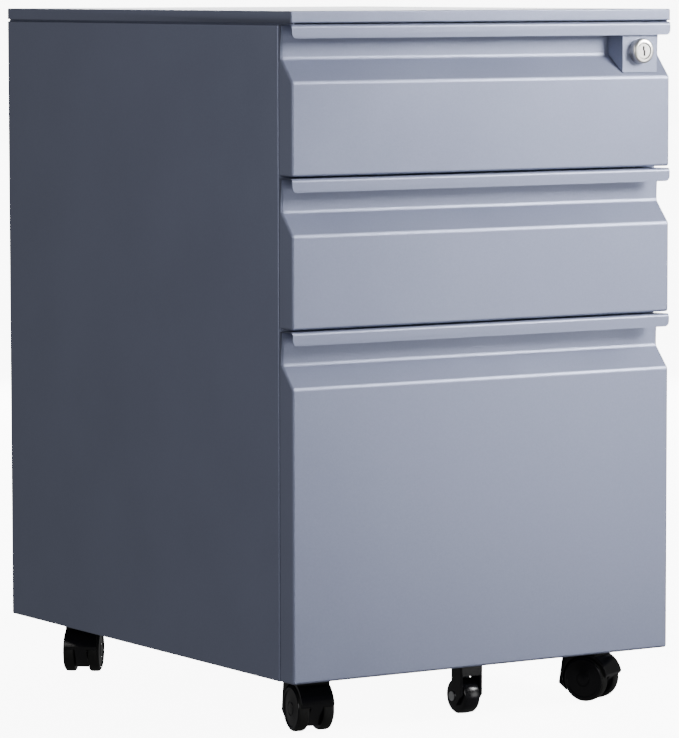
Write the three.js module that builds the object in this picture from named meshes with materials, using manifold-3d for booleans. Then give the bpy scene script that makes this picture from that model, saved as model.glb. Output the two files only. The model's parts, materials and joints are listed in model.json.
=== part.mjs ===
// Rolling pedestal cabinet: a steel carcass on four twin-wheel swivel casters, two box drawers and
// a file drawer on ball-bearing slides, a gang lock in the top drawer's pull recess, and a fifth
// fixed caster that travels under the file drawer so that the cabinet can't tip when it is open.
//
// Millimetres. +Z up, +X to the right of someone facing the drawers, +Y towards the back.
// The origin is on the floor, under the middle of the whole cabinet with its lock.

import * as THREE from "three";
import { mergeVertices } from "three/addons/utils/BufferGeometryUtils.js";
import Module from "manifold-3d";

// ---------------------------------------------------------------- driving dimensions

const WIDTH = 390;
const DEPTH = 500;
const HEIGHT = 614;
const SHEET = 0.8; // steel sheet of the carcass and the drawers
const GAP = 0.3; // between neighbouring sheets that are welded or screwed together

// Carcass
const UNDERSIDE = 50; // height of the carcass's lower edge above the floor
const TOP_EDGE = 10; // visible edge of the top panel
const TOP_REVEAL = 2; // shadow gap under the top panel
const TOP_STEP = 2.7; // how far a side panel steps in under the top panel
const FRONT_DEPTH = 20; // depth of a drawer front
const FRONT_REVEAL = 2; // gap between a drawer front and the carcass
const POST_WIDTH = 14; // front flange of a side panel
const POST_DEPTH = 60; // return behind that flange, which the slides are screwed to

// Drawer fronts, from their own top edge down
const DRAWER_REVEAL = 2.5; // gap between two drawer fronts
const BOX_FRONT_HEIGHT = 125.5;
const FRONT_INSET = 0.5; // a front is this much narrower than the carcass on each side
const LIP = 10.7; // height of the pull's lip
const RECESS_DEPTH = 17; // from the face of the front to the back of the pull
const CREASE = 28; // where the pull's back wall turns forwards
const SLOPE_END = 47; // where the slope meets the face

// Slides
const SLIDE_START = 30.5; // from the carcass's front edge to the slides
const SLIDE_LENGTH = 420;
const SLIDE_ROOM = 12.7; // between a drawer's side and the carcass
const SLIDE_SHEET = 1.2;

// Lock
const LOCK_X = 164;
const LOCK_DROP = 24.6; // lock axis below the top drawer front's upper edge
const LOCK_BLOCK = { width: 37, proud: 14.3, flare: 5.5 }; // its left side flares towards the pull's wall
const BARREL_PROUD = 4; // the lock barrel stands out from the drawer fronts
const CAM_ARM = 5.66; // a quarter turn about the level lifts its pin by 8 mm

// Casters
const STEM_FROM_SIDE = 50;
const STEM_FROM_FRONT = 64;
const STEM_FROM_BACK = 51;
const WHEEL_RADIUS = 20;
const WHEEL_INNER = 6.2; // wheel faces, from the caster's middle plane
const WHEEL_OUTER = 17;
const TRAIL = 12; // from the stem to the axle
const HOOD = { half: 15, web: 5.6, radius: 23.5, bottom: 5, lead: 15, top: UNDERSIDE - 3.4 };
const FIFTH_RADIUS = 16;
const FIFTH_CLEARANCE = 4; // under its wheel, on a level floor
const ROUND = 24; // sides of a turned part

// ---------------------------------------------------------------- places worked out from them

const SIDE = WIDTH / 2;
const FACE = -DEPTH / 2; // plane of the drawer fronts
const BACK = DEPTH / 2;
const CARCASS_FRONT = FACE + FRONT_DEPTH + FRONT_REVEAL;
const CARCASS_TOP = HEIGHT - TOP_EDGE - TOP_REVEAL;
const UNDER_TOP = HEIGHT - SHEET - 0.6; // the highest anything folds, inside the top panel's tray
const OPENING = SIDE - POST_WIDTH; // half the clear width between the front posts
const DRAWER_SIDE = OPENING - SLIDE_ROOM - GAP; // half a drawer box's outer width
const FRONT_BACK = FACE + FRONT_DEPTH; // back edge of a drawer front's side returns
const SLIDE_FRONT = CARCASS_FRONT + SLIDE_START;
const PLATE_FRONT = FRONT_BACK + 0.2; // a drawer's inner front plate

// Heights inside a drawer, from its front's lower edge.
const BOX_DRAWER = { boxBottom: 11, boxTop: 84, slide: 16, slideHeight: 35, catch: 62 };
const FILE_DRAWER = { boxBottom: 29, boxTop: 246, slide: 190, slideHeight: 45, catch: 170 };
const STEP = BOX_FRONT_HEIGHT + DRAWER_REVEAL;
const DRAWERS = [
  { top: CARCASS_TOP, height: BOX_FRONT_HEIGHT, ...BOX_DRAWER },
  { top: CARCASS_TOP - STEP, height: BOX_FRONT_HEIGHT, ...BOX_DRAWER },
  { top: CARCASS_TOP - 2 * STEP, height: CARCASS_TOP - 2 * STEP - UNDERSIDE, ...FILE_DRAWER },
];
for (const drawer of DRAWERS) drawer.bottom = drawer.top - drawer.height;

const LOCK_Z = DRAWERS[0].top - LOCK_DROP;
const LOCK_FACE = FACE + RECESS_DEPTH - LOCK_BLOCK.proud; // face of the lock's block
const CAM_PLANE = [-214, -211]; // the cam and the lock bar's tab lie one behind the other
const TAB_PLANE = [-209.5, -206.5];
const HOOK_PLANE = [-214, -211];
const CATCH_PLANE = [-208.5, -205.5];
const BAR = { x: [OPENING - 3.1, OPENING - 0.6], y: [-218, -203] };

const FIFTH = [FACE + 34, FIFTH_CLEARANCE + FIFTH_RADIUS]; // the fifth caster's axle, (y, z)

// Where each stem stands, and the way its wheels trail.
const STEM_X = SIDE - STEM_FROM_SIDE;
const STEM_FRONT = FACE + STEM_FROM_FRONT;
const STEM_REAR = BACK - STEM_FROM_BACK;
const CASTERS = [
  { name: "front_left", at: [-STEM_X, STEM_FRONT], trail: -100 },
  { name: "front_right", at: [STEM_X, STEM_FRONT], trail: -62 },
  { name: "rear_left", at: [-STEM_X, STEM_REAR], trail: -128 },
  { name: "rear_right", at: [STEM_X, STEM_REAR], trail: 40 },
];

// ---------------------------------------------------------------- materials

const paint = new THREE.MeshStandardMaterial({ color: 0x9da5b6, roughness: 0.45, metalness: 0.1 });
const zinc = new THREE.MeshStandardMaterial({ color: 0xb4b7ba, roughness: 0.4, metalness: 0.9 });
const nickel = new THREE.MeshStandardMaterial({ color: 0xd9d9d4, roughness: 0.2, metalness: 1 });
const nylon = new THREE.MeshStandardMaterial({ color: 0x121214, roughness: 0.45, metalness: 0 });
const tread = new THREE.MeshStandardMaterial({ color: 0x1b1b1d, roughness: 0.6, metalness: 0 });

// ---------------------------------------------------------------- shape helpers

const wasm = await Module();
wasm.setup();

// A closed geometry as a solid that can be joined and cut.
function solid(geometry) {
  const bare = geometry.index ? geometry.toNonIndexed() : geometry.clone();
  bare.deleteAttribute("normal");
  bare.deleteAttribute("uv");
  const merged = mergeVertices(bare, 1e-4);
  return new wasm.Manifold(
    new wasm.Mesh({
      numProp: 3,
      vertProperties: merged.attributes.position.array,
      triVerts: new Uint32Array(merged.index.array),
    }),
  );
}

function join(...pieces) {
  return pieces.map((piece) => (piece.isBufferGeometry ? solid(piece) : piece)).reduce((a, b) => a.add(b));
}

function cut(body, ...tools) {
  const start = body.isBufferGeometry ? solid(body) : body;
  return tools.reduce((a, tool) => a.subtract(tool.isBufferGeometry ? solid(tool) : tool), start);
}

function geometryOf(made) {
  const mesh = made.getMesh();
  const geometry = new THREE.BufferGeometry();
  geometry.setAttribute("position", new THREE.BufferAttribute(new Float32Array(mesh.vertProperties), 3));
  geometry.setIndex(new THREE.BufferAttribute(new Uint32Array(mesh.triVerts), 1));
  geometry.computeVertexNormals();
  return geometry;
}

// A box between two values on each axis.
function block([x0, x1], [y0, y1], [z0, z1]) {
  const box = new THREE.BoxGeometry(x1 - x0, y1 - y0, z1 - z0);
  return box.translate((x0 + x1) / 2, (y0 + y1) / 2, (z0 + z1) / 2);
}

// The span from a to b out from the middle, on the left (side -1) or the right (side 1).
function span(side, a, b) {
  return [Math.min(side * a, side * b), Math.max(side * a, side * b)];
}

function extruded(points, length) {
  const shape = new THREE.Shape(points.map(([a, b]) => new THREE.Vector2(a, b)));
  return new THREE.ExtrudeGeometry(shape, { depth: length, bevelEnabled: false, curveSegments: 6 });
}

// An outline of (y, z) points, drawn out from x0 to x1.
function alongX(points, [x0, x1]) {
  const turn = new THREE.Matrix4().set(0, 0, 1, x0, 1, 0, 0, 0, 0, 1, 0, 0, 0, 0, 0, 1);
  return extruded(points, x1 - x0).applyMatrix4(turn);
}

// An outline of (x, z) points, drawn out from y0 to y1.
function alongY(points, [y0, y1]) {
  const turn = new THREE.Matrix4().set(1, 0, 0, 0, 0, 0, -1, y1, 0, 1, 0, 0, 0, 0, 0, 1);
  return extruded(points, y1 - y0).applyMatrix4(turn);
}

// An outline of (x, y) points, drawn out from z0 to z1.
function alongZ(points, [z0, z1]) {
  return extruded(points, z1 - z0).translate(0, 0, z0);
}

// A closed band of even thickness, to the right of a path of straight stretches.
function bentSheet(path, thickness) {
  const right = path.slice(1).map(([a, b], i) => {
    const [c, d] = [a - path[i][0], b - path[i][1]];
    const length = Math.hypot(c, d);
    return [d / length, -c / length];
  });
  const inner = path.map(([a, b], i) => {
    const [p, q] = [right[Math.max(0, i - 1)], right[Math.min(right.length - 1, i)]];
    const stretch = thickness / (1 + p[0] * q[0] + p[1] * q[1]);
    return [a + (p[0] + q[0]) * stretch, b + (p[1] + q[1]) * stretch];
  });
  return [...path, ...inner.reverse()].reverse();
}

// A profile of (radius, height) points turned about Z. It runs round the section, and closes on itself.
function turned(profile, sides = ROUND) {
  const area = profile.reduce((sum, [r, h], i) => {
    const [s, k] = profile[(i + 1) % profile.length];
    return sum + r * k - s * h;
  }, 0);
  const points = [...profile, profile[0]].map(([r, h]) => new THREE.Vector2(r, h));
  if (area < 0) points.reverse();
  return new THREE.LatheGeometry(points, sides).rotateX(Math.PI / 2);
}

function cylinder(radius, [z0, z1], sides = ROUND) {
  return new THREE.CylinderGeometry(radius, radius, z1 - z0, sides)
    .rotateX(Math.PI / 2)
    .translate(0, 0, (z0 + z1) / 2);
}

// The same lying along Y, through a point (x, z), or along X, through a point (y, z).
function rodY(radius, [y0, y1], [x, z], sides = ROUND) {
  return cylinder(radius, [0, y1 - y0], sides).rotateX(Math.PI / 2).translate(x, y1, z);
}
function rodX(radius, [x0, x1], [y, z], sides = ROUND) {
  return cylinder(radius, [0, x1 - x0], sides).rotateY(Math.PI / 2).translate(x0, y, z);
}

// ---------------------------------------------------------------- carcass

// A shallow tray, turned down on four sides, with a return under its front edge. A tab at each end of
// that return closes the shadow gap above the drawer front.
function topPanel() {
  const under = HEIGHT - TOP_EDGE;
  const tabs = [-1, 1].map((side) =>
    block(
      span(side, SIDE - TOP_STEP - SHEET, SIDE - TOP_STEP),
      [FACE + 1, CARCASS_FRONT - GAP],
      [under - TOP_REVEAL + GAP, under + SHEET],
    ),
  );
  const [x, y, z] = [[-SIDE, SIDE], [FACE, BACK], [under, HEIGHT]];
  return join(
    block(x, y, [HEIGHT - SHEET, HEIGHT]),
    block([-SIDE, SHEET - SIDE], y, z),
    block([SIDE - SHEET, SIDE], y, z),
    block(x, [FACE, FACE + SHEET], z),
    block(x, [BACK - SHEET, BACK], z),
    block(x, [FACE, FACE + 19], [under, under + SHEET]),
    ...tabs,
  );
}

// A side skin folded in on all four edges. The front edge turns twice, into a post for the slides,
// and the top edge steps in and up, into the top panel's tray.
function sidePanel(side) {
  const y = [CARCASS_FRONT, BACK];
  const z = [UNDERSIDE, CARCASS_TOP];
  const step = SIDE - TOP_STEP;
  return join(
    block(span(side, SIDE - SHEET, SIDE), y, z),
    block(span(side, OPENING, SIDE), [CARCASS_FRONT, CARCASS_FRONT + SHEET], z),
    block(span(side, OPENING, OPENING + SHEET), [CARCASS_FRONT, CARCASS_FRONT + POST_DEPTH], z),
    block(span(side, SIDE - 15, SIDE), y, [UNDERSIDE, UNDERSIDE + SHEET]),
    block(span(side, SIDE - 15, SIDE), [BACK - SHEET, BACK], z),
    block(span(side, step - SHEET, SIDE), y, [CARCASS_TOP - SHEET, CARCASS_TOP]),
    block(span(side, step - SHEET, step), [y[0], BACK - TOP_STEP], [CARCASS_TOP - SHEET, UNDER_TOP]),
    block(span(side, step - 15, step), [y[0], BACK - TOP_STEP], [UNDER_TOP - SHEET, UNDER_TOP]),
  );
}

// A flat sheet inside the side panels' rear flanges, stiffened by two folded ribs.
function backPanel() {
  const rear = BACK - SHEET - GAP;
  const front = rear - SHEET;
  const x = [-(SIDE - 4), SIDE - 4];
  const z = [UNDERSIDE + 3, UNDER_TOP - SHEET - GAP];
  return join(
    block(x, [front, rear], z),
    block(x, [front - 8, rear], [z[0], z[0] + SHEET]),
    block(x, [front - 8, rear], [z[1] - SHEET, z[1]]),
  );
}

// A sheet on the side panels' lower flanges, turned up at the front and back, with holes for the
// casters' stems and a notch that the fifth caster's bracket stands in when the drawer is shut.
function bottomPanel() {
  const low = UNDERSIDE + SHEET + GAP;
  const x = [-(SIDE - 1.2), SIDE - 1.2];
  const y = [CARCASS_FRONT + SHEET + GAP, BACK - SHEET - 2 * GAP - 10];
  const holes = CASTERS.map(({ at }) => cylinder(5.4, [low - 5, low + 5], 16).translate(at[0], at[1], 0));
  const inner = [-(OPENING - 0.5), OPENING - 0.5];
  return cut(
    join(
      block([inner[0], inner[1]], y, [low, low + SHEET]),
      block(x, [y[0] + POST_DEPTH, y[1]], [low, low + SHEET]),
      block(inner, [y[0], y[0] + SHEET], [low, low + 18]),
      block(x, [y[1] - SHEET, y[1]], [low, low + 18]),
    ),
    ...holes,
    block([-28, 28], [y[0] - 5, FIFTH[0] + 24], [low - 5, low + 30]),
  );
}

// A channel that ties the two front posts together, behind the top drawer's lip.
function frontRail() {
  const x = [-(OPENING - GAP), OPENING - GAP];
  const front = CARCASS_FRONT + SHEET;
  const z = [CARCASS_TOP - 14, UNDER_TOP - SHEET - GAP];
  return join(
    block(x, [front, front + SHEET], z),
    block(x, [front, front + 22], [z[1] - SHEET, z[1]]),
    block(x, [front, front + 12], [z[0], z[0] + SHEET]),
  );
}

// A channel on the side panel that holds the slides' rear ends.
function rearPost(side) {
  const x = span(side, OPENING, SIDE - SHEET - GAP);
  const y = [BACK - 46, BACK - 14];
  const z = [UNDERSIDE + 6, CARCASS_TOP - 5];
  return join(
    block(span(side, OPENING, OPENING + SHEET), y, z),
    block(x, [y[0], y[0] + SHEET], z),
    block(x, [y[1] - SHEET, y[1]], z),
  );
}

// ---------------------------------------------------------------- slides

// One rolled channel of a slide. It opens towards the cabinet's middle (open -1) or its side (1).
function slideMember(side, near, far, [z0, z1], [y0, y1], open) {
  const web = open < 0 ? [far - SLIDE_SHEET, far] : [near, near + SLIDE_SHEET];
  return join(
    block(span(side, ...web), [y0, y1], [z0, z1]),
    block(span(side, near, far), [y0, y1], [z0, z0 + SLIDE_SHEET]),
    block(span(side, near, far), [y0, y1], [z1 - SLIDE_SHEET, z1]),
  );
}

// ---------------------------------------------------------------- drawers

// The skin of a drawer front: lip, top, pull recess, slope, face and lower return, with a side
// return at each end from the crease down.
function drawerFront({ top, bottom }) {
  const edge = SIDE - FRONT_INSET;
  const wall = FACE + RECESS_DEPTH + SHEET;
  const inside = FACE + SHEET;
  const path = [
    [FACE, top - LIP],
    [FACE, top],
    [wall, top],
    [wall, top - CREASE],
    [inside, top - SLOPE_END],
    [inside, bottom + SHEET],
    [FRONT_BACK, bottom + SHEET],
  ];
  const end = [
    [FACE, bottom],
    [FRONT_BACK, bottom],
    [FRONT_BACK, top - CREASE],
    [wall, top - CREASE],
    [wall - SHEET, top - CREASE],
    [FACE, top - SLOPE_END],
  ];
  const skin = join(
    alongX(bentSheet(path, SHEET), [-edge, edge]),
    alongX(end, [-edge, SHEET - edge]),
    alongX(end, [edge - SHEET, edge]),
  );
  return top === DRAWERS[0].top ? cut(skin, barrelHole([FACE + SHEET, FRONT_BACK])) : skin;
}

// A drawer's folded box with its inner front plate, and the catch that the lock's hook holds.
function drawerBox(drawer) {
  const [low, high] = [drawer.bottom + drawer.boxBottom, drawer.bottom + drawer.boxTop];
  const x = [-DRAWER_SIDE, DRAWER_SIDE];
  const y = [PLATE_FRONT, BACK - 30];
  const z = [low, high];
  const catchZ = drawer.bottom + drawer.catch;
  const plate = block(
    [3 - SIDE, SIDE - 3],
    [PLATE_FRONT, PLATE_FRONT + SHEET],
    [drawer.bottom + 2, drawer.top - 2],
  );
  return join(
    drawer === DRAWERS[0] ? cut(plate, barrelHole([PLATE_FRONT - 5, PLATE_FRONT + 5])) : plate,
    block(x, y, [low, low + SHEET]),
    block([-DRAWER_SIDE, SHEET - DRAWER_SIDE], y, z),
    block([DRAWER_SIDE - SHEET, DRAWER_SIDE], y, z),
    block(x, [y[1] - SHEET, y[1]], z),
    block([DRAWER_SIDE - SHEET, DRAWER_SIDE + 6.5], CATCH_PLANE, [catchZ - 3, catchZ + 4]),
  );
}

// A flat bar along the file drawer's side, which the hanging files' hooks ride on.
function fileRail(side) {
  const top = DRAWERS[2].bottom + DRAWERS[2].boxTop;
  const x = span(side, DRAWER_SIDE - 4.5, DRAWER_SIDE - 1.5);
  return block(x, [PLATE_FRONT + 4, BACK - 34], [top - 16, top - 1]);
}

// ---------------------------------------------------------------- lock

const BARREL = { front: FACE - BARREL_PROUD, back: CAM_PLANE[0] - 3, radius: 9.2, ring: 11, bore: 7 };

// What is cut away for the lock's barrel, between two planes.
function barrelHole(y) {
  return rodY(BARREL.radius + GAP, y, [LOCK_X, LOCK_Z]);
}

// The block that fills the right end of the top drawer's pull and carries the lock barrel.
function lockHousing() {
  const [top, wall] = [DRAWERS[0].top - SHEET - GAP, FACE + RECESS_DEPTH - GAP];
  const foot = DRAWERS[0].top - CREASE + GAP;
  const drop = ((wall - LOCK_FACE) * (SLOPE_END - CREASE)) / RECESS_DEPTH;
  const section = [
    [LOCK_FACE, foot - drop],
    [wall, foot],
    [wall, top],
    [LOCK_FACE, top],
  ];
  const [left, right] = [LOCK_X - LOCK_BLOCK.width / 2, LOCK_X + LOCK_BLOCK.width / 2];
  const plan = [
    [left, LOCK_FACE],
    [right, LOCK_FACE],
    [right, wall],
    [left - LOCK_BLOCK.flare, wall],
  ];
  const bar = solid(alongX(section, [left - LOCK_BLOCK.flare, right]));
  return cut(bar.intersect(solid(alongZ(plan, [foot - drop, top]))), barrelHole([LOCK_FACE - 5, wall + 5]));
}

// The fixed barrel, with a ring in front and a bore for the plug.
function lockBarrel() {
  const { front, back, radius, ring, bore } = BARREL;
  const [length, seat] = [back - front, back - LOCK_FACE + 0.2];
  const profile = [
    [bore, 0],
    [bore, length],
    [radius, length],
    [ring - 0.5, length - 1],
    [ring, length - 2.2],
    [ring, seat],
    [radius, seat],
    [radius, 0],
  ];
  return turned(profile).rotateX(Math.PI / 2).translate(LOCK_X, back, LOCK_Z);
}

// The plug that the key turns, with its keyway and the square tail that drives the cam.
function lockPlug() {
  const front = BARREL.front + 0.6;
  const turning = BARREL.bore - GAP;
  const body = join(
    rodY(turning, [front, BARREL.back - 0.5], [LOCK_X, LOCK_Z]),
    block([LOCK_X - 2.5, LOCK_X + 2.5], [BARREL.back - 4, CAM_PLANE[1] + 0.8], [LOCK_Z - 2.5, LOCK_Z + 2.5]),
  );
  const keyway = [front - 2, front + 9];
  return cut(
    body,
    block([LOCK_X - 0.9, LOCK_X + 0.7], keyway, [LOCK_Z - 0.6, LOCK_Z + 4.4]),
    block([LOCK_X - 0.5, LOCK_X + 1.1], keyway, [LOCK_Z - 4.4, LOCK_Z + 0.6]),
  );
}

// The cam: a hub on the plug's tail, and an arm whose pin moves the lock bar. It starts 45 degrees
// below the level.
function lockCam() {
  const reach = CAM_ARM / Math.SQRT2;
  const arm = [
    [-2.6, -2.6],
    [0, -4.4],
    [reach + 2.1, -reach - 2.1],
    [4.4, 0],
    [2.6, 2.6],
  ];
  const hole = block([-2.7, 2.7], [CAM_PLANE[0] - 5, CAM_PLANE[1] + 5], [-2.7, 2.7]);
  return cut(
    join(
      rodY(4.8, CAM_PLANE, [0, 0], 16),
      alongY(arm, CAM_PLANE),
      rodY(1.3, [CAM_PLANE[0] + 0.5, TAB_PLANE[1] + 1], [reach, -reach], 12),
    ),
    hole,
  ).translate([LOCK_X, 0, LOCK_Z]);
}

// The gang bar: a strip with a slotted tab that the cam's pin lifts, and one hook for each drawer.
function lockBar() {
  const pin = [LOCK_X + CAM_ARM / Math.SQRT2, LOCK_Z - CAM_ARM / Math.SQRT2];
  const bottom = DRAWERS[2].bottom + DRAWERS[2].catch - 20;
  const hooks = DRAWERS.map((drawer) => {
    const level = drawer.bottom + drawer.catch;
    return block([DRAWER_SIDE + 1.5, BAR.x[1]], HOOK_PLANE, [level - 12, level - 4.5]);
  });
  const tab = block([LOCK_X - 1, BAR.x[1]], TAB_PLANE, [pin[1] - 5.5, pin[1] + 5.5]);
  const slot = block(
    [pin[0] - 3, pin[0] + 3.5],
    [TAB_PLANE[0] - 2, TAB_PLANE[1] + 2],
    [pin[1] - 2, pin[1] + 2],
  );
  return cut(join(block(BAR.x, BAR.y, [bottom, pin[1] + 5.5]), ...hooks, tab), slot);
}

// ---------------------------------------------------------------- casters
// Each caster is made about its own stem, with its wheels towards +X.

const AXLE = [TRAIL, WHEEL_RADIUS];

// The pivot pin, its collar under the carcass, and the threaded end with its nut.
function casterStem() {
  return join(
    cylinder(4, [WHEEL_RADIUS, UNDERSIDE - 2], 16),
    cylinder(13, [UNDERSIDE - 3, UNDERSIDE + SHEET]),
    cylinder(5, [UNDERSIDE, UNDERSIDE + 13], 16),
    cylinder(8.5, [UNDERSIDE + 2.4, UNDERSIDE + 8.6], 6),
  );
}

// The hood: a box with a rounded trailing end, hollowed out round both wheels. The web that is left
// between them holds the stem and the axle.
function casterHood() {
  const { half, web, radius, bottom, lead, top } = HOOD;
  const steps = [62, 50, 38, 26, 14]; // degrees round the axle
  const trailing = steps.map((degrees) => {
    const angle = (degrees * Math.PI) / 180;
    return [AXLE[0] + radius * Math.cos(angle), AXLE[1] + radius * Math.sin(angle)];
  });
  const outline = [
    [-13.4, lead],
    [-1, bottom],
    [AXLE[0] + 8, bottom],
    ...trailing.toReversed(),
    [AXLE[0] + 11.8, top],
    [-8.6, top],
  ];
  const wells = [-1, 1].map((side) => rodY(WHEEL_RADIUS + 1, span(side, web, half + 5), AXLE, 32));
  return cut(
    alongY(outline, [-half, half]),
    ...wells,
    cylinder(4.3, [WHEEL_RADIUS - 1, UNDERSIDE], 16),
    rodY(2.5, [-web - 1, web + 1], AXLE, 12),
  );
}

function casterAxle() {
  return rodY(2.2, [-WHEEL_OUTER + 2, WHEEL_OUTER - 2], AXLE, 12);
}

// A dished wheel on the near (side -1) or far (side 1) end of the axle.
function casterWheel(side) {
  const [inner, outer] = [WHEEL_INNER, WHEEL_OUTER];
  const profile = [
    [2.5, inner],
    [WHEEL_RADIUS - 2, inner],
    [WHEEL_RADIUS, inner + 1.6],
    [WHEEL_RADIUS, outer - 2.6],
    [WHEEL_RADIUS - 1.6, outer - 0.9],
    [14, outer - 0.3],
    [8, outer],
    [2.5, outer],
  ];
  return turned(profile)
    .rotateX((-side * Math.PI) / 2)
    .translate(AXLE[0], 0, AXLE[1]);
}

// ---------------------------------------------------------------- fifth caster

// A fork screwed under the file drawer, reaching down through the carcass's notch. Its legs lean
// back to the axle.
function fifthBracket() {
  const top = DRAWERS[2].bottom + DRAWERS[2].boxBottom - GAP;
  const [y, z] = FIFTH;
  const leg = [
    [y - 13, z + 2],
    [y - 5, z - 8],
    [y + 3, z - 8],
    [y + 8, z - 3],
    [y + 8, z + 3],
    [y + 2, z + 10],
    [y + 2, top - 3],
    [y - 13, top - 3],
  ];
  return cut(
    join(alongX(leg, [-11.5, 11.5]), block([-22, 22], [y - 13, y + 30], [top - 3, top])),
    block([-8.8, 8.8], [y - 30, y + 30], [0, z + FIFTH_RADIUS + 2]),
    rodX(2.9, [-20, 20], FIFTH, 12),
  );
}

function fifthAxle() {
  return rodX(2.6, [-12.5, 12.5], FIFTH, 12);
}

function fifthWheel() {
  const half = 8.3;
  const profile = [
    [2.9, -half],
    [FIFTH_RADIUS - 2.5, -half],
    [FIFTH_RADIUS, -half + 2.5],
    [FIFTH_RADIUS, half - 2.5],
    [FIFTH_RADIUS - 2.5, half],
    [2.9, half],
  ];
  return turned(profile).rotateY(Math.PI / 2).translate(0, ...FIFTH);
}

// ---------------------------------------------------------------- assembly

const cabinet = new THREE.Group();
cabinet.position.y = BARREL_PROUD / 2; // so that the origin is under the middle

function add(name, shape, material, parent = cabinet) {
  const geometry = shape.isBufferGeometry ? shape : geometryOf(shape);
  const mesh = new THREE.Mesh(geometry, material);
  mesh.name = name;
  parent.add(mesh);
}

add("top_panel", topPanel(), paint);
add("back_panel", backPanel(), paint);
add("bottom_panel", bottomPanel(), paint);
add("top_front_rail", frontRail(), paint);
for (const [word, side] of [["left", -1], ["right", 1]]) {
  add(`side_panel_${word}`, sidePanel(side), paint);
  add(`rear_post_${word}`, rearPost(side), zinc);
}

DRAWERS.forEach((drawer, i) => {
  const number = i + 1;
  const low = drawer.bottom + drawer.slide;
  const z = (inset) => [low + inset, low + drawer.slideHeight - inset];
  const y = [SLIDE_FRONT, SLIDE_FRONT + SLIDE_LENGTH];
  const wall = OPENING - 0.2;
  const nearWall = DRAWER_SIDE + 0.3;
  add(`drawer_${number}_front`, drawerFront(drawer), paint);
  add(`drawer_${number}_box`, drawerBox(drawer), paint);
  for (const [word, side] of [["left", -1], ["right", 1]]) {
    const name = (part) => `slide_${number}_${part}_${word}`;
    const full = number === 3;
    add(name("outer"), slideMember(side, wall - 8.5, wall, z(0), y, -1), zinc);
    if (full) add(name("middle"), slideMember(side, nearWall + 2.2, wall - 3.4, z(4.4), y, -1), zinc);
    const inner = [nearWall, nearWall + 6.5, z(full ? 9.6 : 5), [y[0], y[1] - 8]];
    add(name("inner"), slideMember(side, ...inner, 1), zinc);
  }
});
add("file_rail_left", fileRail(-1), zinc);
add("file_rail_right", fileRail(1), zinc);

add("lock_housing", lockHousing(), paint);
add("lock_barrel", lockBarrel(), nickel);
add("lock_plug", lockPlug(), nickel);
add("lock_cam", lockCam(), zinc);
add("lock_bar", lockBar(), zinc);

for (const { name, at, trail } of CASTERS) {
  const caster = new THREE.Group();
  caster.position.set(at[0], at[1], 0);
  caster.rotation.z = (trail * Math.PI) / 180;
  cabinet.add(caster);
  add(`caster_${name}_stem`, casterStem(), zinc, caster);
  add(`caster_${name}_hood`, casterHood(), nylon, caster);
  add(`caster_${name}_axle`, casterAxle(), zinc, caster);
  add(`caster_${name}_wheel_a`, casterWheel(-1), tread, caster);
  add(`caster_${name}_wheel_b`, casterWheel(1), tread, caster);
}

add("fifth_caster_bracket", fifthBracket(), nylon);
add("fifth_caster_axle", fifthAxle(), zinc);
add("fifth_caster_wheel", fifthWheel(), tread);

export default cabinet;
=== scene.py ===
# %% [markdown]
# # A rolling pedestal cabinet
# A small steel cabinet that rolls under a desk: two box drawers over a file drawer, a lock in the top
# drawer's pull, four swivel casters and a fifth wheel under the file drawer. The CAD model already has
# every piece at its true size, so this lesson makes the fine surfaces: rounded bends, paint, plating and
# plastic.

# %% Load the cabinet's frame
import json
import math

import bmesh
import bpy
from mathutils import Matrix, Vector


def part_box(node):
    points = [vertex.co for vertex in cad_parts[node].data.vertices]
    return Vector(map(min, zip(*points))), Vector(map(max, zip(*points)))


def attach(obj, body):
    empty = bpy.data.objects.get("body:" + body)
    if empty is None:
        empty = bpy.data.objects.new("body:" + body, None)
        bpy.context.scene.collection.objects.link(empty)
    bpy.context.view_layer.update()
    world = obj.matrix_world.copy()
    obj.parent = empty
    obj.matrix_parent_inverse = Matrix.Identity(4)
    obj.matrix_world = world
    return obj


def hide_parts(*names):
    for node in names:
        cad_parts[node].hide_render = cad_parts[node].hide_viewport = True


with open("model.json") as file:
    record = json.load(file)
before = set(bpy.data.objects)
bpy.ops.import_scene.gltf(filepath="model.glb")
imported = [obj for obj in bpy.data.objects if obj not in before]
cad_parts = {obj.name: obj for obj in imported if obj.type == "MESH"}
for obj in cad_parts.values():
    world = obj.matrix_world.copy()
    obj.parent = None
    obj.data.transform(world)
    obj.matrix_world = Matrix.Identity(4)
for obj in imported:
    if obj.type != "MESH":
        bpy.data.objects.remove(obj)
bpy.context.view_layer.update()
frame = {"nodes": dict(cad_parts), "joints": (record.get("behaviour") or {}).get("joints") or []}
MM = 0.001
SHEET = 0.8 * MM  # steel sheet of the carcass and the drawers

# %% [markdown]
# ## Helpers for materials
# Every finish is a Principled shader whose colour, roughness and bump come from noise in Object
# coordinates. Each object sits at the origin, so these coordinates are metres in the cabinet's own frame,
# and one scale suits every piece. A constant value is typed into the shader's socket.

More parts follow.
